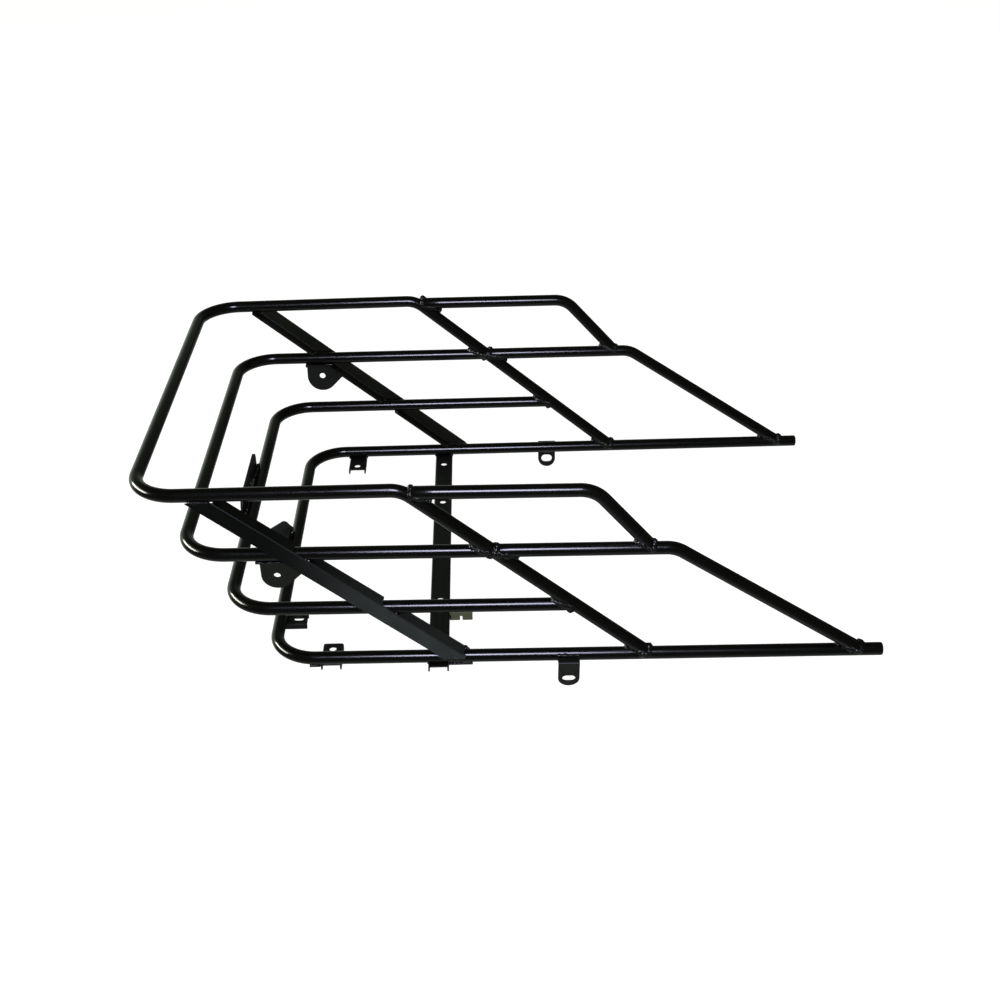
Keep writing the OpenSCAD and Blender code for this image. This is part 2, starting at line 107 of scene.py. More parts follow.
def make_paint(name, base, rough=0.18, rough_var=0.03, peel=0.009, level=0.5, painted_sheen=None):
    """Black paint. peel is the strength of the orange peel, level that of the shine, painted_sheen the X
    span in metres of a painted sheen.
    """
    m = bpy.data.materials.new(name)
    m.use_nodes = True
    t = m.node_tree
    n, l = t.nodes, t.links
    b = n["Principled BSDF"]
    b.inputs["IOR"].default_value = 1.5
    b.inputs["Specular IOR Level"].default_value = level
    b.inputs["Metallic"].default_value = 0.0
    co = n.new("ShaderNodeTexCoord")
    # colour: black with a faint cloudiness
    cloud = n.new("ShaderNodeTexNoise")
    cloud.inputs["Scale"].default_value = 22.0
    cloud.inputs["Detail"].default_value = 5.0
    cloud.inputs["Roughness"].default_value = 0.6
    l.new(co.outputs["Object"], cloud.inputs["Vector"])
    ramp = n.new("ShaderNodeValToRGB")
    ramp.color_ramp.elements[0].position = 0.35
    ramp.color_ramp.elements[0].color = shade(base, 0.8)
    ramp.color_ramp.elements[1].position = 0.7
    ramp.color_ramp.elements[1].color = shade(base, 1.25)
    l.new(cloud.outputs["Fac"], ramp.inputs["Fac"])
    if painted_sheen:
        # painted sheen: ten times darker at one end than at the other, along X in metres
        sep = n.new("ShaderNodeSeparateXYZ")
        l.new(co.outputs["Object"], sep.inputs["Vector"])
        run = n.new("ShaderNodeMapRange")
        run.interpolation_type = "SMOOTHSTEP"
        run.inputs["From Min"].default_value = painted_sheen[0]
        run.inputs["From Max"].default_value = painted_sheen[1]
        l.new(sep.outputs["X"], run.inputs["Value"])
        mix = n.new("ShaderNodeMix")
        mix.data_type = "RGBA"
        l.new(run.outputs["Result"], mix.inputs["Factor"])
        mix.inputs["A"].default_value = shade(base, 0.1)
        l.new(ramp.outputs["Color"], mix.inputs["B"])
        l.new(mix.outputs["Result"], b.inputs["Base Color"])
    else:
        l.new(ramp.outputs["Color"], b.inputs["Base Color"])
    # roughness: slow patches and fine grain
    slow = n.new("ShaderNodeTexNoise")
    slow.inputs["Scale"].default_value = 9.0
    slow.inputs["Detail"].default_value = 4.0
    l.new(co.outputs["Object"], slow.inputs["Vector"])
    span = n.new("ShaderNodeMapRange")
    span.inputs["From Min"].default_value = 0.3
    span.inputs["From Max"].default_value = 0.7
    span.inputs["To Min"].default_value = rough - rough_var
    span.inputs["To Max"].default_value = rough + rough_var
    l.new(slow.outputs["Fac"], span.inputs["Value"])
    l.new(span.outputs["Result"], b.inputs["Roughness"])
    # orange peel
    skin = n.new("ShaderNodeTexNoise")
    skin.inputs["Scale"].default_value = 420.0
    skin.inputs["Detail"].default_value = 2.0
    l.new(co.outputs["Object"], skin.inputs["Vector"])
    bump = n.new("ShaderNodeBump")
    bump.inputs["Strength"].default_value = 0.35
    bump.inputs["Distance"].default_value = peel * MM * 4
    l.new(skin.outputs["Fac"], bump.inputs["Height"])
    l.new(bump.outputs["Normal"], b.inputs["Normal"])
    return m


PLATE = dict(rough=0.42, rough_var=0.07, peel=0.03, level=0.3)
PAINT = make_paint("black_gloss_paint", (0.0016, 0.0017, 0.0016))
PLATE_PAINT = make_paint("black_plate_paint", (0.0062, 0.0072, 0.0058), **PLATE)
# the near brace's paint is much paler than the plates' and darkens along X towards the top: a painted
# sheen
BRACE_SHEEN_PAINT = make_paint(
    "black_brace_painted_sheen",
    (0.023, 0.0255, 0.027),
    rough=0.3,
    rough_var=0.05,
    peel=0.03,
    level=0.16,
    painted_sheen=(-0.29, -0.13),
)
# paler paint for the brace's rounded outer edge: a painted highlight line
CREASE_HIGHLIGHT_PAINT = make_paint(
    "black_crease_painted_highlight", (0.015, 0.0165, 0.02), rough=0.3, rough_var=0.04, peel=0.02, level=0.4
)
# the far brace's own copy of the paint, paler and more olive than the plates: a painted reflection tint
FAR_BRACE_REFLECTION_PAINT = make_paint(
    "black_far_brace_painted_reflection", (0.0085, 0.0095, 0.0062), rough=0.34, rough_var=0.05, peel=0.03, level=0.2
)
# paler, tinted copies of the plate paint: painted reflections
OLIVE_REFLECTION_PAINT = make_paint("olive_plate_painted_reflection", (0.085, 0.096, 0.056), **PLATE)
CLEVIS_REFLECTION_PAINT = make_paint("grey_clevis_painted_reflection", (0.015, 0.019, 0.016), **PLATE)
WELD_PAINT = make_paint("black_weld_paint", (0.004, 0.0042, 0.004), rough=0.24, rough_var=0.08, peel=0.05)
# the nodes that get paler paint than the other plates: a painted reflection of the pale surroundings
PAINTED_REFLECTIONS = {"rear_tab_inner": OLIVE_REFLECTION_PAINT, "front_bracket_lower": CLEVIS_REFLECTION_PAINT}


# ---------------------------------------------------------------- mesh helpers
def new_piece(name, verts, faces, material, replaces=()):
    """One new mesh on the root body, from points in mm."""
    me = bpy.data.meshes.new(name)
    me.from_pydata([(v[0] * MM, v[1] * MM, v[2] * MM) for v in verts], [], faces)
    me.validate()
    me.update()
    o = bpy.data.objects.new(name, me)
    bpy.context.scene.collection.objects.link(o)
    me.materials.append(material)
    for p in me.polygons:
        p.use_smooth = True
    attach(o, "root")
    if replaces:
        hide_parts(*replaces)
    return o


def rounded(points, radius, step=2.5):
    """Centre line through points, with the corners turned at radius, shallow ones at RAIL_BEND_R.

    Returns (point, tangent) pairs, with a ring every step degrees of a turn.
    """
    out = []
    pts = [Vector(p) for p in points]
    out.append((pts[0], (pts[1] - pts[0]).normalized()))
    for i in range(1, len(pts) - 1):
        a, c, b = pts[i - 1], pts[i], pts[i + 1]
        u, v = (c - a).normalized(), (b - c).normalized()
        angle = u.angle(v)
        turn = radius if angle > 1.0 else RAIL_BEND_R
        use = turn * math.tan(angle / 2)
        start = c - u * use
        inward = (v - u * u.dot(v)).normalized()
        centre = start + inward * turn
        steps = max(4, int(math.degrees(angle) / step))
        for k in range(steps + 1):
            t = angle * k / steps
            p = centre - inward * (turn * math.cos(t)) + u * (turn * math.sin(t))
            d = u * math.cos(t) + inward * math.sin(t)
            out.append((p, d))
    out.append((pts[-1], (pts[-1] - pts[-2]).normalized()))
    # extra rings on the long straights
    dense = []
    for (p, d), (q, _) in zip(out, out[1:]):
        dense.append((p, d))
        gap = (q - p).length
        if gap > 30:
            k = int(gap / 25)
            for j in range(1, k):
                dense.append((p + (q - p) * (j / k), d))
    dense.append(out[-1])
    return dense


def frames(path):
    """A normal and a side vector at each point of a path, carried along without twist."""
    d0 = path[0][1]
    ref = Vector((0, 0, 1)) if abs(d0.z) < 0.9 else Vector((1, 0, 0))
    nrm = (ref - d0 * ref.dot(d0)).normalized()
    out = []
    for p, d in path:
        nrm = (nrm - d * nrm.dot(d)).normalized()
        out.append((p, d, nrm, d.cross(nrm)))
    return out


def nearest(p, line):
    """Distance from p to a polyline of points."""
    best = 1e9
    for a, b in zip(line, line[1:]):
        ab = b - a
        t = max(0.0, min(1.0, (p - a).dot(ab) / ab.length_squared))
        best = min(best, (a + ab * t - p).length)
    return best


def meet(p, d, line, radius, before=26.0, after=9.0):
    """How far along d from p a line first comes within radius of a polyline, or None."""
    s, step = -before, 0.5
    if nearest(p + d * s, line) < radius:
        return None
    while s < after:
        s += step
        if nearest(p + d * s, line) < radius:
            lo, hi = s - step, s
            for _ in range(12):
                mid = (lo + hi) / 2
                if nearest(p + d * mid, line) < radius:
                    hi = mid
                else:
                    lo = mid
            return (lo + hi) / 2
    return None


def near_part(path, p, span=45.0):
    """The stretch of a path near a point, as a polyline."""
    pts = [q for q, _ in path]
    keep = []
    for a, b in zip(pts, pts[1:]):
        ab = b - a
        t = max(0.0, min(1.0, (p - a).dot(ab) / ab.length_squared))
        if (a + ab * t - p).length < span:
            if not keep or keep[-1] != a:
                keep.append(a)
            keep.append(b)
    return keep


def tube(name, points, replaces, start_on=None, end_on=None, seg=40, blunt=99.0, lip=0.0):
    """Hollow tube along a rounded line. start_on and end_on are the paths of tubes its ends are coped to.

    blunt is the most that the cope may add to the start, lip the rounding of two free ends.
    """
    path = rounded(points, BEND_R)
    if lip:
        # closer rings at both free ends, so that the mouth can be rounded
        for end, sign in ((0, 1), (-1, -1)):
            p, d = path[end]
            extra = [(p + d * (sign * lip * k), d) for k in (0.15, 0.5, 1.0)]
            path = path[:1] + extra + path[1:] if end == 0 else path[:-1] + extra[::-1] + path[-1:]
    fr = frames(path)
    count = len(fr)
    verts, rings = [], []
    for bore, full in ((False, TUBE_R), (True, TUBE_R - WALL)):
        rows = []
        for i, (p, d, n, b) in enumerate(fr):
            row = []
            # how many rings from the nearer end, for the rounded mouth
            near_end = min(i, count - 1 - i)
            r = full - (lip * (0.62, 0.32, 0.08)[near_end] if lip and not bore and near_end < 3 else 0.0)
            for k in range(seg):
                a = 2 * math.pi * k / seg
                q = p + (n * math.cos(a) + b * math.sin(a)) * r
                if i == 0 and start_on:
                    s = meet(q, -d, near_part(start_on, p), TUBE_R - 0.5)
                    q = q - d * min(blunt, s if s is not None else 2.0)
                if i == count - 1 and end_on:
                    s = meet(q, d, near_part(end_on, p), TUBE_R - 0.5)
                    q = q + d * (s if s is not None else 2.0)
                row.append(len(verts))
                verts.append(q)
            rows.append(row)
        rings.append(rows)
    faces = []
    outer, inner = rings
    for rows, flip in ((outer, False), (inner, True)):
        for r0, r1 in zip(rows, rows[1:]):
            for k in range(seg):
                j = (k + 1) % seg
                f = (r0[k], r0[j], r1[j], r1[k])
                faces.append(f[::-1] if flip else f)
    for k in range(seg):
        j = (k + 1) % seg
        faces.append((outer[0][j], outer[0][k], inner[0][k], inner[0][j]))
        faces.append((outer[-1][k], outer[-1][j], inner[-1][j], inner[-1][k]))
    o = new_piece(name, verts, faces, PAINT, replaces)
    bev = o.modifiers.new("edge", "BEVEL")
    bev.width = 0.5 * MM
    bev.segments = 2
    bev.limit_method = "ANGLE"
    bev.angle_limit = math.radians(50)


# ---------------------------------------------------------------- weld beads
def bead_mesh(line, radius, closed=False, seg=10, pitch=2.2, seed=0.0):
    """A weld bead along a line of points: a rippled, uneven rope of metal. Returns vertices and faces."""
    pts = [Vector(p) for p in line]
    if closed:
        pts = pts + [pts[0]]
    # resample evenly
    step = 0.45
    length = [0.0]
    for a, b in zip(pts, pts[1:]):
        length.append(length[-1] + (b - a).length)
    total = length[-1]
    count = max(6, int(total / step))
    out, j = [], 0
    for i in range(count + 1):
        s = total * i / count
        while j < len(length) - 2 and length[j + 1] < s:
            j += 1
        gap = max(1e-9, length[j + 1] - length[j])
        out.append(pts[j] + (pts[j + 1] - pts[j]) * ((s - length[j]) / gap))
    if closed:
        out = out[:-1]
    # smooth a little
    for _ in range(3):
        new = list(out)
        for i in range(len(out)):
            if closed:
                new[i] = (out[i - 1] + out[i] * 2 + out[(i + 1) % len(out)]) / 4
            elif 0 < i < len(out) - 1:
                new[i] = (out[i - 1] + out[i] * 2 + out[i + 1]) / 4
        out = new
    m = len(out)
    tangents = []
    for i in range(m):
        a = out[i - 1] if (i > 0 or closed) else out[i]
        b = out[(i + 1) % m] if (i < m - 1 or closed) else out[i]
        tangents.append((b - a).normalized())
    fr = frames(list(zip(out, tangents)))
    verts, faces, rows = [], [], []
    for i, (p, d, n, b) in enumerate(fr):
        s = total * i / m
        wave = abs(math.sin(math.pi * s / pitch + seed))
        base = radius * (0.86 + 0.2 * wave + 0.5 * noise.noise(Vector((s * 0.16, seed, 0.3))))
        if not closed:
            edge = min(i, m - 1 - i) * step
            base *= min(1.0, math.sqrt(max(0.02, edge / (radius * 1.1))))
        row = []
        for k in range(seg):
            a = 2 * math.pi * k / seg
            v = p + (n * math.cos(a) + b * math.sin(a)) * base
            v += Vector(
                (
                    noise.noise(v * 0.5 + Vector((seed, 0, 0))),
                    noise.noise(v * 0.5 + Vector((0, seed, 5))),
                    noise.noise(v * 0.5 + Vector((3, 0, seed))),
                )
            ) * (0.34 * radius)
            row.append(len(verts))
            verts.append(v)
        rows.append(row)
    pairs = list(zip(rows, rows[1:]))
    if closed:
        pairs.append((rows[-1], rows[0]))
    for r0, r1 in pairs:
        for k in range(seg):
            j = (k + 1) % seg
            faces.append((r0[k], r0[j], r1[j], r1[k]))
    if not closed:
        faces.append(tuple(rows[0][::-1]))
        faces.append(tuple(rows[-1]))
    return verts, faces


def bead(name, line, radius, closed, seed):
    """One weld bead as one piece."""
    verts, faces = bead_mesh(line, radius, closed, seed=seed)
    new_piece(name, verts, faces, WELD_PAINT)


def beads(name, lines, seed, paint=WELD_PAINT):
    """Several open beads as one piece. Each is (radius, points)."""
    verts, faces = [], []
    for i, (radius, line) in enumerate(lines):
        v, f = bead_mesh(line, radius, seed=seed + i * 1.7)
        base = len(verts)
        verts += v
        faces += [tuple(k + base for k in face) for face in f]
    new_piece(name, verts, faces, paint)


def cope_line(p, d, line, sink, most, seg=48):
    """Curve where a tube that comes along d to p meets another tube, whose centre line is a polyline.

    sink is how deep the curve lies in the metal, most the furthest it may run past p.
    """
    ref = Vector((0, 0, 1)) if abs(d.z) < 0.9 else Vector((1, 0, 0))
    n = (ref - d * ref.dot(d)).normalized()
    b = d.cross(n)
    out = []
    for k in range(seg):
        a = 2 * math.pi * k / seg
        e = n * math.cos(a) + b * math.sin(a)
        s = meet(p + e * TUBE_R, d, line, TUBE_R)
        if s is None and most < 9.0:
            s = most
        out.append(None if s is None else p + e * (TUBE_R - sink) + d * (min(s, most) - sink))
    return out


def saddle(name, p, d, path, radius, sink, seed, most):
    """Weld bead all round the end of a tube landing on another."""
    pts = cope_line(p, d.normalized(), near_part(path, p), sink, most)
    if all(q is not None for q in pts):
        bead(name, pts, radius, True, seed)
        return
    # open: take the longest run of found points
    k0 = pts.index(None)
    pts = pts[k0:] + pts[:k0]
    run, best = [], []
    for q in pts:
        if q is None:
            best = run if len(run) > len(best) else best
            run = []
        else:
            run.append(q)
    best = run if len(run) > len(best) else best
    bead(name, best, radius, False, seed)


# ---------------------------------------------------------------- tubes
paths = {}
for label, x, z, rear in (
    ("top", TOP_X, TOP_Z, None),
    ("second", SECOND_X, SECOND_Z, leg_x(SECOND_Z)),
    ("third", THIRD_X, THIRD_Z, leg_x(THIRD_Z)),
    ("bottom", BOTTOM_X, BOTTOM_Z, REAR_X),
):
    if rear is None:
        pts = [at(TOP_FOOT_X, BOTTOM_Z, -1), at(TOP_BEND_X, BEND_Z, -1), at(x, z, -1)]
        pts += [at(x, z, 1), at(TOP_BEND_X, BEND_Z, 1), at(TOP_FOOT_X, BOTTOM_Z, 1)]
    else:
        pts = [at(rear, z, -1), at(x, z, -1), at(x, z, 1), at(rear, z, 1)]
    paths[label] = (pts, rounded(pts, BEND_R))

bottom_path = paths["bottom"][1]
top_path = paths["top"][1]
tube("v_bottom_hoop", paths["bottom"][0], ["bottom_hoop"], lip=2.2)
tube("v_top_hoop", paths["top"][0], ["top_hoop"], bottom_path, bottom_path)
tube("v_second_hoop", paths["second"][0], ["second_hoop"], top_path, top_path)
tube("v_third_hoop", paths["third"][0], ["third_hoop"], top_path, top_path)

for side, word in ((-1, "left"), (1, "right")):
    rear_pts = [
        at(leg_x(SECOND_Z), SECOND_Z, side),
        at(REAR_BEND_X, SECOND_Z, side),
        at(REAR_FOOT_X, BOTTOM_Z, side),
    ]
    rear_path = rounded(rear_pts, BEND_R)
    tube("v_rear_rail_" + word, rear_pts, ["rear_rail_" + word], top_path, bottom_path)
    up_pts = [
        at(UPPER_START_X, UPPER_Z, side),
        at(UPPER_BEND_X, UPPER_Z, side),
        at(UPPER_FOOT[side], SECOND_Z, side),
    ]
    tube("v_upper_rail_" + word, up_pts, ["upper_rail_" + word], top_path, rear_path, blunt=0.0)
    leg_foot = at(TOP_FOOT_X, BOTTOM_Z, side)
    # name, end point, direction, path it lands on, bead radius, depth in the metal
    welds = (
        ("rail_start", up_pts[0], up_pts[0] - up_pts[1], top_path, 3.6, 1.2),
        ("rail_foot", up_pts[2], up_pts[2] - up_pts[1], rear_path, 3.8, 1.7),
        ("second_end", at(leg_x(SECOND_Z), SECOND_Z, side), Vector((1, 0, 0)), top_path, 4.0, 1.9),
        ("rear_start", rear_pts[0], rear_pts[0] - rear_pts[1], top_path, 4.4, 2.1),
        ("rear_foot", rear_pts[2], rear_pts[2] - rear_pts[1], bottom_path, 4.6, 2.0),
        ("third_end", at(leg_x(THIRD_Z), THIRD_Z, side), Vector((1, 0, 0)), top_path, 4.0, 1.9),
        ("leg_foot", leg_foot, leg_foot - at(TOP_BEND_X, BEND_Z, side), bottom_path, 4.6, 2.1),
    )
    for i, (label, p, d, on, r, sink) in enumerate(welds):
        # the upper rails start blunt, so their bead stays at the end
        most = 1.5 if label == "rail_start" else 99.0
        saddle("weld_%s_%s" % (label, word), p, d, on, r, sink, i * 3.1 + side, most)


# ---------------------------------------------------------------- side braces
def brace_x(z):
    """Where the brace's centre line is at a height."""
    return BRACE_TOP_X + (BRACE_FOOT_X - BRACE_TOP_X) * (TOP_Z - z) / (TOP_Z - BOTTOM_Z)


def prism(bm, profile, origin, along, across, normal, planes, start=-60.0, end=460.0):
    """Adds to bm a straight bar whose profile is (across, normal) points.

    planes are (point, direction) pairs: each cuts off what lies behind the point.
    """
    part = bmesh.new()
    ends = []
    for s in (start, end):
        ends.append([part.verts.new(origin + along * s + across * y + normal * n) for y, n in profile])
    part.faces.new(ends[0][::-1])
    part.faces.new(ends[1])
    for i in range(len(profile)):
        j = (i + 1) % len(profile)
        part.faces.new((ends[0][i], ends[0][j], ends[1][j], ends[1][i]))
    for point, keep in planes:
        geom = part.verts[:] + part.edges[:] + part.faces[:]
        cut = bmesh.ops.bisect_plane(
            part, geom=geom, dist=1e-4, plane_co=point, plane_no=keep, clear_inner=True
        )
        edges = [e for e in cut["geom_cut"] if isinstance(e, bmesh.types.BMEdge)]
        bmesh.ops.edgeloop_fill(part, edges=edges)
    bmesh.ops.recalc_face_normals(part, faces=part.faces[:])
    made = {v: bm.verts.new(v.co * MM) for v in part.verts}
    for f in part.faces:
        bm.faces.new([made[v] for v in f.verts])
    part.free()


def turn(radius, across, up, sense, angles, flip=False):
    """Points of a rounded corner of a profile about a centre, one for each angle in degrees."""
    out = []
    for a in angles:
        c, n = math.cos(math.radians(a)), math.sin(math.radians(a))
        c, n = (n, c) if flip else (c, n)
        out.append((across + radius * c, sense * (up + radius * n)))
    return out


def brace(name, side, replaces):
    """Angle iron outside one side frame. Its flange is in three lengths between the hoops."""
    top, foot = at(BRACE_TOP_X, TOP_Z, side), at(BRACE_FOOT_X, BOTTOM_Z, side)
    along = (foot - top).normalized()
    out = out_of(side)
    up_edge = out.cross(along) * (1 if out.cross(along).z > 0 else -1)
    # the left flange is on the upper edge, the right one on the lower
    sense = 1 if side < 0 else -1
    h = WEB / 2
    outer_r, inner_r = 2.4, 2.2
    arc = turn(outer_r, INNER + ANGLE_T - outer_r, h - outer_r, sense, (0, 18, 36, 54, 72, 90))
    web = [(INNER, -sense * h), (INNER + ANGLE_T, -sense * h)] + arc + [(INNER, sense * h)]
    low = INNER + ANGLE_T - FLANGE - 0.5
    under = h - ANGLE_T - inner_r
    fillet = turn(inner_r, INNER - inner_r, under, sense, (0, 22.5, 45, 67.5, 90), flip=True)
    flange = [(low, sense * (h - ANGLE_T))] + fillet
    flange += [(INNER + 0.3, sense * under), (INNER + 0.3, sense * h), (low, sense * h)]
    z = Vector((0, 0, 1))
    bm = bmesh.new()
    ends = [(at(0, TOP_Z - 5, side), -z), (at(0, BOTTOM_Z + BRACE_SEAT, side), z)]
    prism(bm, web, top, along, out, up_edge, ends)
    spans = (
        (TOP_Z - INNER, SECOND_Z + INNER),
        (SECOND_Z - INNER, THIRD_Z + INNER),
        (THIRD_Z - INNER, BOTTOM_Z + INNER),
    )
    for i, (high, down) in enumerate(spans):
        cuts = [(Vector((0, 0, high)), -z), (Vector((0, 0, down)), z)]
        if i == 2:
            # inner corner cut off where the flange lands on the bottom hoop
            corner = top + along * ((foot - top).length - 7) - out * 16
            cuts.append((corner, (along * -0.82 + out * 0.574).normalized()))
        prism(bm, flange, top, along, out, up_edge, cuts)
    me = bpy.data.meshes.new(name)
    bm.to_mesh(me)
    bm.free()
    o = bpy.data.objects.new(name, me)
    bpy.context.scene.collection.objects.link(o)
    for paint in (BRACE_SHEEN_PAINT if side < 0 else FAR_BRACE_REFLECTION_PAINT, CREASE_HIGHLIGHT_PAINT):
        me.materials.append(paint)
    # the rounded outer edge gets a paler, shinier paint: a painted highlight along the crease, besides
    # the real shine of the lamps
    crease = (out * 0.55 + up_edge * (sense * 0.83)).normalized()
    for face in me.polygons:
        if face.normal.dot(crease) > 0.93:
            face.material_index = 1
    bev = o.modifiers.new("edge", "BEVEL")
    bev.width = 0.6 * MM
    bev.segments = 3
    bev.limit_method = "ANGLE"
    bev.angle_limit = math.radians(40)
    bev.harden_normals = True
    for p in me.polygons:
        p.use_smooth = True
    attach(o, "root")
    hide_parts(replaces)


def straight(x0, z0, x1, z1, out0, side, out1=None):
    """Straight bead line beside a side frame, a distance out0 (to out1) outside its centre plane."""
    a, b = spot(x0, z0, out0, side), spot(x1, z1, out0 if out1 is None else out1, side)
    return [a + (b - a) * (k / 8) for k in range(9)]


def through(x, z, out0, out1, side):
    """Bead line that runs inwards or outwards at one point of a side frame."""
    return [spot(x, z, out0 + (out1 - out0) * k / 8, side) for k in range(9)]


def corner_fill(side, joint, angle_a, angle_b, reach=13.0, radius=3.0):
    """Weld metal in the acute corner between two lines of a side frame that leave joint at two angles."""
    a, b = math.radians(angle_a), math.radians(angle_b)
    half_angle = abs(a - b) / 2
    mid = (a + b) / 2
    # the corner of the two outlines, then along the bisector
    far = TUBE_R / math.sin(half_angle) + reach - TUBE_R
    x, z = joint[0] + far * math.cos(mid), joint[1] + far * math.sin(mid)
    return radius, through(x, z, -5.0, 5.0, side)


# slopes of the legs and rails, in degrees
LEG_A = -math.degrees(math.atan2(BEND_Z - BOTTOM_Z, TOP_FOOT_X - TOP_BEND_X))
RAIL_A = -math.degrees(math.atan2(SECOND_Z - BOTTOM_Z, REAR_FOOT_X - REAR_BEND_X))
UP_A = -math.degrees(math.atan2(UPPER_Z - SECOND_Z, UPPER_FOOT[-1] - UPPER_BEND_X))

for side, word in ((-1, "left"), (1, "right")):
    brace("v_side_brace_" + word, side, "side_brace_" + word)
    half = WEB / 2 / math.sin(math.atan2(TOP_Z - BOTTOM_Z, BRACE_FOOT_X - BRACE_TOP_X))
    # from the brace's centre line to the flange, along X
    shift = half - 4 if side < 0 else -half + 4
    # beads of one side as (radius, line)
    small = []
    # the braces on the four hoops
    c = brace_x(TOP_Z - 5)
    small.append((2.3, straight(c - half + 2, TOP_Z - 4.2, c + half - 3, TOP_Z - 4.6, 8.0, side)))
    c = brace_x(BOTTOM_Z + BRACE_SEAT)
    foot = [(3.0, straight(c - half - 3, BOTTOM_Z + 4.6, c + half + 1, BOTTOM_Z + 5.0, 7.8, side))]
    if side < 0:
        # lump at the end of the flange
        foot.append((2.3, [spot(-63.5 + k, 48.9 - 0.28 * k, -7.0 + 0.75 * k, side) for k in range(9)]))
    # the foot beads take the near brace's paint, with its painted sheen
    beads("weld_brace_foot_" + word, foot, seed=side * 1.9, paint=BRACE_SHEEN_PAINT)
    small.append((1.8, straight(c - half + 6, BOTTOM_Z + 1.4, c + half - 3, BOTTOM_Z + 1.6, 7.9, side)))
    for z in (SECOND_Z, THIRD_Z):
        c = brace_x(z)
        for x, dz in ((c - half - 2.0, 4.5), (c + half + 2.0, -4.5)):
            end_z = z - 1.5 if dz > 0 else z + dz
            small.append((1.7, straight(x - 2.5, z + dz + 2.5, x + 2.5, end_z, 7.6, side)))
        # where the flange meets the tube above and below
        for dz in (TUBE_R + 0.4, -TUBE_R - 0.4):
            x = brace_x(z + dz) + shift
            small.append((1.5, through(x, z + dz, 6.5, -7.5, side)))
    for z in (TOP_Z - TUBE_R - 0.5, BOTTOM_Z + TUBE_R + 0.5):
        x = brace_x(z) + shift
        small.append((1.9, through(x, z, 7.0, -5.0, side)))
    # the ear under the second hoop, and along the brace
    hole_x, ear_r, overhang = EAR[side]
    z = SECOND_Z - TUBE_R - 1.2
    small.append((1.5, straight(hole_x - ear_r - overhang + 1, z, hole_x + ear_r - 2, z, 4.6, side)))
    small.append((1.4, straight(hole_x - ear_r - 1, z, hole_x + ear_r - 4, z, -5.0, side)))
    # the strap lug on the bottom leg
    small.append((2.6, straight(LUG_X - 14, BOTTOM_Z + 3.6, LUG_X + 14, BOTTOM_Z + 3.2, 7.8, side)))
    small.append((2.2, straight(LUG_X - 13, BOTTOM_Z - 4.2, LUG_X + 13, BOTTOM_Z - 4.0, 7.4, side)))
    # the cross channel and the floor tab under the bottom leg
    z = BOTTOM_Z - TUBE_R + 0.4
    for x in (CHANNEL_X, TAB_X):
        for s in (-1, 1):
            edge = x + s * CHANNEL_EDGE
            small.append((1.7, straight(edge, z, edge - s * 0.2, z, -6.5, side, 5.5)))
    # the acute corners between leg and rails
    second, third = (leg_x(SECOND_Z), SECOND_Z), (leg_x(THIRD_Z), THIRD_Z)
    small.append(corner_fill(side, (TOP_BEND_X + 4.5, UPPER_Z), 0, LEG_A, reach=14.5 + side * 1.5))
    small.append(corner_fill(side, (TOP_BEND_X + 4.5, UPPER_Z), 0, LEG_A, reach=10.5))
    small.append(corner_fill(side, second, 0, LEG_A))
    small.append(corner_fill(side, second, 180, 180 + LEG_A, reach=10.0, radius=2.4))
    small.append(corner_fill(side, third, 180, 180 + LEG_A, reach=10.0, radius=2.4))
    small.append(corner_fill(side, (TOP_FOOT_X, BOTTOM_Z), 180, 180 + LEG_A))
    small.append(corner_fill(side, (REAR_FOOT_X, BOTTOM_Z), 180, 180 + RAIL_A, reach=11.0))
    small.append(corner_fill(side, (UPPER_FOOT[side], SECOND_Z), 180, 180 + UP_A, reach=11.0))
    beads("weld_spots_" + word, small, seed=side * 2.3)


def across(x, z, y0, y1):
    """Bead line along Y."""
    return [Vector((x, y0 + (y1 - y0) * k / 10, z)) for k in range(11)]


def lengthwise(x, y, z, length):
    """Bead line along X."""
    return [Vector((x + length * k / 8, y, z)) for k in range(9)]


front = []
# front bracket plates on the third and bottom hoops
for s in (-1, 1):
    y = BRACKET_Y + s * 48
    front.append((1.7, across(THIRD_X - 6.0, THIRD_Z + 7.4, y - 16, y + 16)))
    front.append((2.2, lengthwise(THIRD_X - 9.5, y + s * 18.5, THIRD_Z + 5.4, 6)))
front.append((1.9, across(BOTTOM_X - 7.0, BOTTOM_Z + 5.4, -15, 19)))
front.append((1.7, across(BOTTOM_X - 7.0, BOTTOM_Z - 5.4, -14, 18)))
# tab under the front run
z = BOTTOM_Z - TUBE_R + 0.4
for s in (-1, 1):
    y = FRONT_TAB_Y + s * CHANNEL_EDGE
    front.append((1.5, lengthwise(BOTTOM_X - 4, y, z, 9)))
beads("weld_spots_front", front, seed=5.1)

# small tabs by the left leg: along the outer edge, and on the channel
tabs = []
y = at(CHANNEL_X, BOTTOM_Z, -1).y
z = BOTTOM_Z - TUBE_R + 0.2
tabs.append((1.3, lengthwise(-80, y - 5.2, z, 26)))
tabs.append((1.2, [Vector((-81.2, -168.3 + 0.4 * k, 29.5 - 1.8 * k)) for k in range(5)]))
y = at(TAB_X, BOTTOM_Z, -1).y
tabs.append((1.2, lengthwise(-248, y - 4.6, z, 10)))
beads("weld_spots_tabs", tabs, seed=8.4)

# ---------------------------------------------------------------- sheet metal, as modelled in the CAD
for n, o in NODES.items():
    if o.hide_render:
        continue
    o.data.materials.clear()
    # two plates get a paler copy of the paint, a painted reflection
    o.data.materials.append(PAINTED_REFLECTIONS.get(n, PLATE_PAINT))
    w = o.modifiers.new("join", "WELD")
    w.merge_threshold = 0.00001
    b = o.modifiers.new("edge", "BEVEL")
    b.width = 0.8 * MM
    b.segments = 3
    b.limit_method = "ANGLE"
    b.angle_limit = math.radians(35)
    b.harden_normals = True

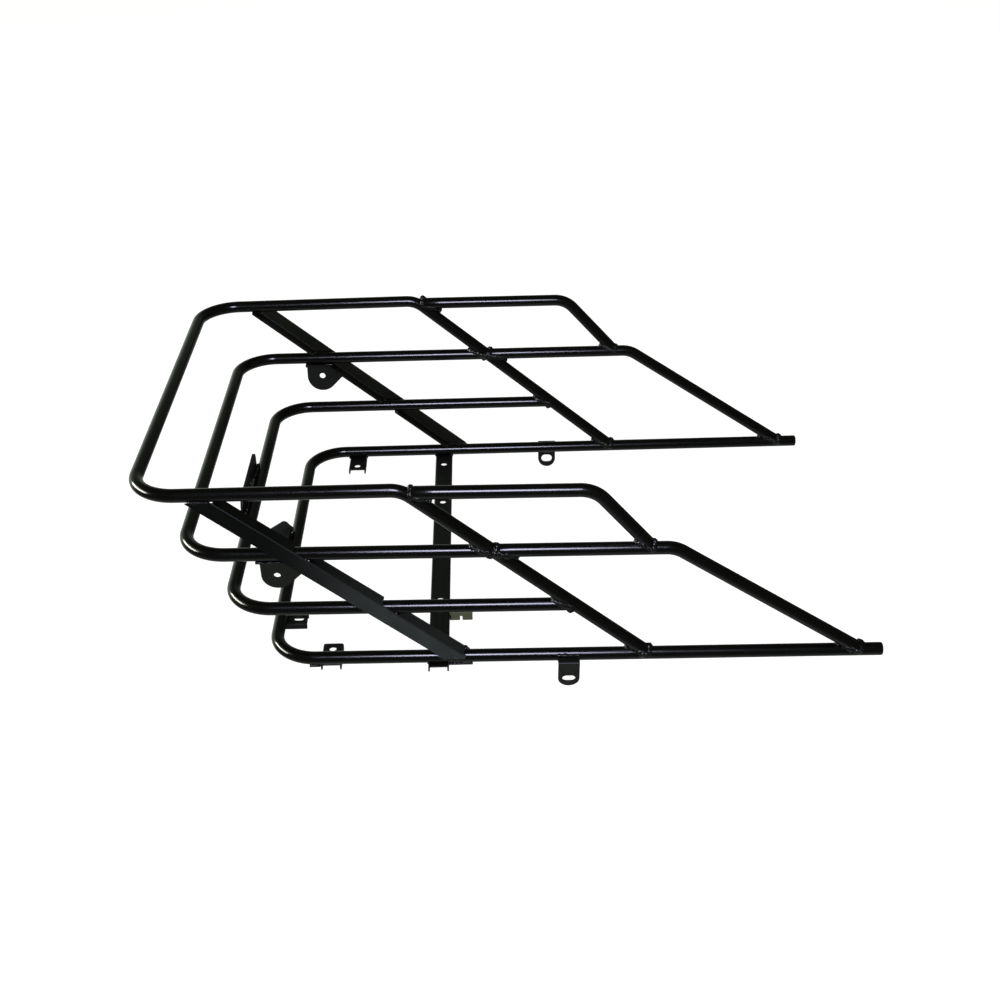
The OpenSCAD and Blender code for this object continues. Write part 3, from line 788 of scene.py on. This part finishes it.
# ---------------------------------------------------------------- stage
FLOOR_SIZE, WALL_HEIGHT = 9.0, 12.0
RIM = [
    (-FLOOR_SIZE, -FLOOR_SIZE),
    (FLOOR_SIZE, -FLOOR_SIZE),
    (FLOOR_SIZE, FLOOR_SIZE * 2),
    (-FLOOR_SIZE, FLOOR_SIZE * 2),
]
WHITE = bpy.data.materials.new("floor_white")
WHITE.use_nodes = True
fb = WHITE.node_tree.nodes["Principled BSDF"]
fb.inputs["Base Color"].default_value = (0.4, 0.4, 0.4, 1)
fb.inputs["Roughness"].default_value = 0.9
fb.inputs["Specular IOR Level"].default_value = 0.0
fb.inputs["Emission Color"].default_value = (1.0, 1.0, 0.995, 1)
fb.inputs["Emission Strength"].default_value = 0.93


def stage_mesh(name, verts, faces):
    """A pale surface that the paint does not mirror."""
    me = bpy.data.meshes.new(name)
    me.from_pydata(verts, [], faces)
    o = bpy.data.objects.new(name, me)
    bpy.context.scene.collection.objects.link(o)
    me.materials.append(WHITE)
    o.visible_glossy = False
    return o


stage_mesh("floor", [(x, y, 0) for x, y in RIM], [(0, 1, 2, 3)])

# pale walls round the floor, for views that look past its edge; they cast no light
wall_verts = [(x, y, z) for z in (0, WALL_HEIGHT) for x, y in RIM]
wall_faces = [(i, (i + 1) % 4, (i + 1) % 4 + 4, i + 4) for i in range(4)]
backdrop = stage_mesh("backdrop", wall_verts, wall_faces)
backdrop.visible_diffuse = False
backdrop.visible_shadow = False


def area(name, loc, target, size, size_y, power, color=(1, 1, 1), glossy=True, diffuse=True):
    """Rectangular lamp aimed at a target. glossy and diffuse say whether it makes shine or body light."""
    d = bpy.data.lights.new(name, "AREA")
    d.shape = "RECTANGLE"
    d.size = size
    d.size_y = size_y
    d.energy = power
    d.color = color
    o = bpy.data.objects.new(name, d)
    bpy.context.scene.collection.objects.link(o)
    o.location = loc
    o.rotation_euler = (Vector(target) - Vector(loc)).to_track_quat("-Z", "Y").to_euler()
    o.visible_glossy = glossy
    o.visible_diffuse = diffuse
    o.visible_camera = False


area("key", (-0.05, -1.60, 1.40), (0, 0, 0.12), 0.50, 0.62, 24.5, (0.76, 0.76, 1.0), diffuse=False)
area("side", (-2.1, 0.0, 0.62), (0, -0.1, 0.15), 1.5, 0.42, 48, (1.0, 1.0, 0.9), diffuse=False)
area("top_fill", (0.0, 0.6, 3.4), (0, 0.5, 0), 5.0, 5.0, 50, (1, 1, 1), glossy=False)
area("front_fill", (0.1, -2.6, 0.8), (0, 0.0, 0.1), 2.6, 0.9, 44, (0.97, 1.0, 1.0), glossy=False)

world = bpy.data.worlds.new("world")
bpy.context.scene.world = world
world.use_nodes = True
wn, wl = world.node_tree.nodes, world.node_tree.links
bg = wn["Background"]
wc = wn.new("ShaderNodeTexCoord")
sep = wn.new("ShaderNodeSeparateXYZ")
wl.new(wc.outputs["Generated"], sep.inputs["Vector"])
# what the paint reflects: pale below, dark in front and above, grey at the horizon behind
below = wn.new("ShaderNodeValToRGB")
mr = wn.new("ShaderNodeMapRange")
mr.inputs["From Min"].default_value = -1.0
mr.inputs["From Max"].default_value = 1.0
wl.new(sep.outputs["Z"], mr.inputs["Value"])
wl.new(mr.outputs["Result"], below.inputs["Fac"])
stops = (
    (0.0, (0.34, 0.37, 0.35)),
    (0.125, (0.19, 0.21, 0.19)),
    (0.25, (0.06, 0.068, 0.06)),
    (0.45, (0.045, 0.05, 0.04)),
    (1.0, (0.045, 0.05, 0.035)),
)
els = below.color_ramp.elements
for i, (pos, col) in enumerate(stops):
    e = els[i] if i < 1 else (els[-1] if i == len(stops) - 1 else els.new(pos))
    e.position = pos
    e.color = col + (1,)


def span_node(source, low, high):
    """Smooth step of a socket from 0 at low to 1 at high."""
    m = wn.new("ShaderNodeMapRange")
    m.interpolation_type = "SMOOTHSTEP"
    m.inputs["From Min"].default_value = low
    m.inputs["From Max"].default_value = high
    wl.new(source, m.inputs["Value"])
    return m.outputs["Result"]


def times(a, b):
    """Product of two sockets."""
    m = wn.new("ShaderNodeMath")
    m.operation = "MULTIPLY"
    wl.new(a, m.inputs[0])
    wl.new(b, m.inputs[1])
    return m.outputs["Value"]


back = span_node(sep.outputs["Y"], 0.25, 0.75)
level = span_node(sep.outputs["Z"], 0.65, -0.15)
leftward = span_node(sep.outputs["X"], 0.55, -0.45)
mixed = wn.new("ShaderNodeMix")
mixed.data_type = "RGBA"
wl.new(times(times(back, level), leftward), mixed.inputs["Factor"])
wl.new(below.outputs["Color"], mixed.inputs["A"])
mixed.inputs["B"].default_value = (0.62, 0.7, 0.6, 1)
wl.new(mixed.outputs["Result"], bg.inputs["Color"])
bg.inputs["Strength"].default_value = 1.0

# ---------------------------------------------------------------- camera
CAMERA_AT = (-0.03486, -1.73553, 1.08647)
CAMERA_LENS = 53.4476
yaw, pitch, roll = 0.0124, -0.5164, -0.0154
fwd = Vector((math.sin(yaw) * math.cos(pitch), math.cos(yaw) * math.cos(pitch), math.sin(pitch)))
right = Vector((math.cos(yaw), -math.sin(yaw), 0))
up = right.cross(fwd)
rolled_right = right * math.cos(roll) + up * math.sin(roll)
rolled_up = up * math.cos(roll) - right * math.sin(roll)
cam_data = bpy.data.cameras.new("camera")
cam_data.sensor_width = 36.0
cam_data.lens = CAMERA_LENS
cam_data.clip_start = 0.05
cam_data.clip_end = 60
cam = bpy.data.objects.new("camera", cam_data)
bpy.context.scene.collection.objects.link(cam)
rot = Matrix((rolled_right, rolled_up, -fwd)).transposed()
cam.matrix_world = Matrix.Translation(CAMERA_AT) @ rot.to_4x4()
bpy.context.scene.camera = cam

bpy.context.scene.view_settings.view_transform = "Standard"
bpy.context.scene.view_settings.look = "None"
